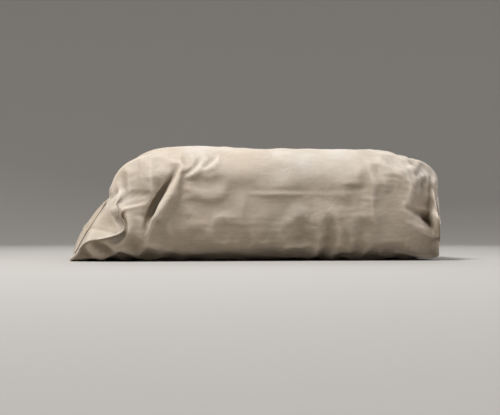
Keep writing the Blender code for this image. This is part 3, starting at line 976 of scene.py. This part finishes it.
class Nodes:
    """Builds a material's node tree with short calls."""

    def __init__(self, name):
        self.material = bpy.data.materials.new(name)
        self.material.use_nodes = True
        self.tree = self.material.node_tree
        self.shader = self.tree.nodes["Principled BSDF"]

    def add(self, kind, settings=(), **inputs):
        node = self.tree.nodes.new("ShaderNode" + kind)
        for key, value in dict(settings).items():
            setattr(node, key, value)
        for key, value in inputs.items():
            self.feed(node.inputs[key.replace("_", " ")], value)
        return node

    def feed(self, socket, value):
        if isinstance(value, bpy.types.NodeSocket):
            self.tree.links.new(value, socket)
        elif isinstance(value, bpy.types.Node):
            self.tree.links.new(value.outputs[0], socket)
        else:
            socket.default_value = value

    def math(self, operation, first, second):
        node = self.add("Math", {"operation": operation})
        self.feed(node.inputs[0], first)
        self.feed(node.inputs[1], second)
        return node.outputs[0]

    def ramp(self, value, low, high, start=0.0, end=1.0):
        node = self.add("MapRange", {"interpolation_type": "SMOOTHSTEP"}, Value=value)
        node.inputs["From Min"].default_value = low
        node.inputs["From Max"].default_value = high
        node.inputs["To Min"].default_value = start
        node.inputs["To Max"].default_value = end
        return node.outputs["Result"]

    def mix(self, share, first, second):
        node = self.add("Mix", {"data_type": "RGBA", "blend_type": "MIX"})
        self.feed(node.inputs["Factor"], share)
        self.feed(node.inputs[6], first)
        self.feed(node.inputs[7], second)
        return node.outputs[2]

    def noise(self, place, scale, detail, roughness, distortion):
        node = self.add("TexNoise", (), Vector=place, Scale=scale, Detail=detail)
        node.inputs["Roughness"].default_value = roughness
        node.inputs["Distortion"].default_value = distortion
        return node.outputs["Fac"]

    def cells(self, place, feature, scale):
        node = self.add("TexVoronoi", {"feature": feature}, Vector=place, Scale=scale)
        return node.outputs["Distance"]

    def attribute(self, name):
        return self.add("Attribute", {"attribute_name": name}).outputs["Fac"]


def plain_material(name, colour, roughness):
    nodes = Nodes(name)
    nodes.shader.inputs["Base Color"].default_value = (*colour, 1)
    nodes.shader.inputs["Roughness"].default_value = roughness
    return nodes.material


def tinted(colour, tint):
    return tuple(min(1.0, part * share) for part, share in zip(colour, tint)) + (1,)


def dust_and_painted_top_light(nodes, place, dust_and_top_light_amount):
    """How much cement dust and painted top light cover the paper: smudges over a thin film, both where it
    faces up; faces that point down stay darker, as painted shade.
    """
    normal = nodes.add("NewGeometry").outputs["Normal"]
    upward = nodes.ramp(nodes.add("SeparateXYZ", (), Vector=normal).outputs["Z"], *UPWARD_RAMP)
    smudges = nodes.math("MULTIPLY", nodes.ramp(nodes.noise(place, *SMUDGES), *SMUDGE_RAMP), upward)
    top_light_and_dust_film = nodes.math("MULTIPLY", upward, dust_and_top_light_amount * DUST_AND_TOP_LIGHT_FILM)
    return nodes.math("ADD", nodes.math("MULTIPLY", smudges, dust_and_top_light_amount), top_light_and_dust_film)


def kraft_height(nodes, place, fibres, grain):
    """The relief of the paper: small creases in places, faint facets, fibres and grain."""
    wander = nodes.add("TexNoise", (), Vector=place, Scale=CELL_WANDER_SCALE, Detail=CELL_WANDER_DETAIL)
    shift = nodes.add("VectorMath", {"operation": "SCALE"}, Scale=CELL_WANDER_SHARE)
    nodes.feed(shift.inputs[0], wander.outputs["Color"])
    cells_at = nodes.add("VectorMath", {"operation": "ADD"})
    nodes.feed(cells_at.inputs[0], place)
    nodes.feed(cells_at.inputs[1], shift)
    creases = nodes.ramp(nodes.cells(cells_at, "DISTANCE_TO_EDGE", CREASE_SCALE), *CREASE_RAMP)
    facet_cells = nodes.cells(cells_at, "F1", FACET_SCALE)
    creased = nodes.ramp(nodes.noise(place, *CREASED_PLACES), *CREASED_RAMP)
    height = nodes.math("MULTIPLY", creases, nodes.math("MULTIPLY", creased, CREASE_HEIGHT))
    for layer, share in ((facet_cells, FACET_HEIGHT), (fibres, FIBRE_HEIGHT), (grain, GRAIN_HEIGHT)):
        height = nodes.math("ADD", height, nodes.math("MULTIPLY", layer, share))
    return height


def kraft_material(name, colour, grain_scale, dust_and_top_light_amount):
    """Kraft paper: fibres along the grain, blotches, rubbed creases, painted shade in hollows, and cement
    dust that also paints the top lighter.
    """
    nodes = Nodes(name)
    place = nodes.add("TexCoord").outputs["Object"]
    fibres_at = nodes.add("Mapping", (), Vector=place, Scale=grain_scale)
    fibres = nodes.noise(fibres_at, *FIBRES)
    grain = nodes.noise(fibres_at, *FINE_GRAIN)
    blotches = nodes.noise(place, *BLOTCHES)
    layers = (
        (nodes.ramp(nodes.noise(place, *CLOUDS), *CLOUD_RAMP), CLOUD_TINT),
        (nodes.ramp(fibres, *FIBRE_RAMP), LIGHT_TINT),
        (nodes.ramp(grain, *GRAIN_RAMP), DARK_TINT),
        (nodes.ramp(blotches, *BLOTCH_RAMP), DARK_TINT),
        (nodes.math("MULTIPLY", nodes.attribute("worn"), WORN_SHARE), RUBBED_TINT),
        # Painted shade where the paper lies in
        (nodes.math("MULTIPLY", nodes.attribute("hollow_shade"), HOLLOW_SHADE_SHARE), HOLLOW_SHADE_TINT),
    )
    base = (*colour, 1)
    for share, tint in layers:
        base = nodes.mix(share, base, tinted(colour, tint))
    # Cement dust, also painted light: the top lighter, faces that point down darker
    dust_and_top_light_share = dust_and_painted_top_light(nodes, place, dust_and_top_light_amount)
    rough = nodes.math("MULTIPLY", dust_and_top_light_share, DUST_ROUGHNESS)
    rough = nodes.math("ADD", nodes.ramp(blotches, *ROUGHNESS_RAMP), rough)
    height = kraft_height(nodes, place, fibres, grain)
    bump = nodes.add("Bump", (), Height=height, Strength=BUMP_STRENGTH, Distance=BUMP_DISTANCE)
    nodes.feed(nodes.shader.inputs["Base Color"], nodes.mix(dust_and_top_light_share, base, DUST_AND_TOP_LIGHT_COLOUR))
    nodes.feed(nodes.shader.inputs["Roughness"], rough)
    nodes.feed(nodes.shader.inputs["Normal"], bump)
    nodes.shader.inputs["Specular IOR Level"].default_value = SPECULAR
    nodes.shader.inputs["Sheen Weight"].default_value = SHEEN
    nodes.shader.inputs["Sheen Roughness"].default_value = SHEEN_ROUGHNESS
    return nodes.material


def make_stage():
    """A pale round floor that rises all around in one sweep."""
    profile = [(0.0, 0.0), (STAGE_RADIUS, 0.0)]
    for step in range(1, STAGE_SWEEP_STEPS + 1):
        turn = math.radians(90) * step / STAGE_SWEEP_STEPS
        profile.append((STAGE_RADIUS + STAGE_SWEEP * math.sin(turn), STAGE_SWEEP * (1 - math.cos(turn))))
    profile.append((STAGE_RADIUS + STAGE_SWEEP, STAGE_HEIGHT))
    mesh = bpy.data.meshes.new("floor")
    edges = [(place, place + 1) for place in range(len(profile) - 1)]
    mesh.from_pydata([(reach, 0.0, height) for reach, height in profile], edges, [])
    floor = bpy.data.objects.new("floor", mesh)
    bpy.context.scene.collection.objects.link(floor)
    turned = floor.modifiers.new("Turned", "SCREW")
    turned.steps = STAGE_TURN_STEPS
    turned.use_merge_vertices = True
    apply_modifiers(floor)
    floor.data.shade_smooth()
    floor.data.materials.append(plain_material("floor", FLOOR_COLOUR, FLOOR_ROUGHNESS))


def area_light(name, place, aim, size, power, colour):
    data = bpy.data.lights.new(name, "AREA")
    data.shape = "RECTANGLE"
    data.size, data.size_y = size
    data.energy = power
    data.color = colour
    light = bpy.data.objects.new(name, data)
    bpy.context.scene.collection.objects.link(light)
    light.location = place
    light.rotation_mode = "QUATERNION"
    light.rotation_quaternion = (Vector(aim) - Vector(place)).to_track_quat("-Z", "Y")


def make_lights():
    for light in LIGHTS:
        area_light(*light)
    world = bpy.data.worlds.new("studio")
    world.use_nodes = True
    background = world.node_tree.nodes["Background"]
    background.inputs["Color"].default_value = WORLD_COLOUR
    background.inputs["Strength"].default_value = WORLD_STRENGTH
    bpy.context.scene.world = world
    bpy.context.scene.view_settings.view_transform = "Standard"


def dress(piece, node, material):
    """Gives a piece its material, and has it stand for a CAD node."""
    piece.data.materials.append(material)
    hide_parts(node)
    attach(piece, "root")


def main():
    make_camera()
    make_stage()
    make_lights()
    paper, powder, left_patch, right_patch, valve = make_sack()
    kraft = kraft_material("kraft_paper", *KRAFT_PAPER)
    patch_paper = kraft_material("patch_paper", *PATCH_PAPER)
    sleeve_paper = kraft_material("sleeve_paper", *SLEEVE_PAPER)
    cement = plain_material("cement_powder", CEMENT_COLOUR, CEMENT_ROUGHNESS)
    dress(paper, "paper_sack", kraft)
    dress(powder, "cement_fill", cement)
    dress(left_patch, "end_patch_left", patch_paper)
    dress(right_patch, "end_patch_right", patch_paper)
    dress(valve, "valve_sleeve", sleeve_paper)


main()
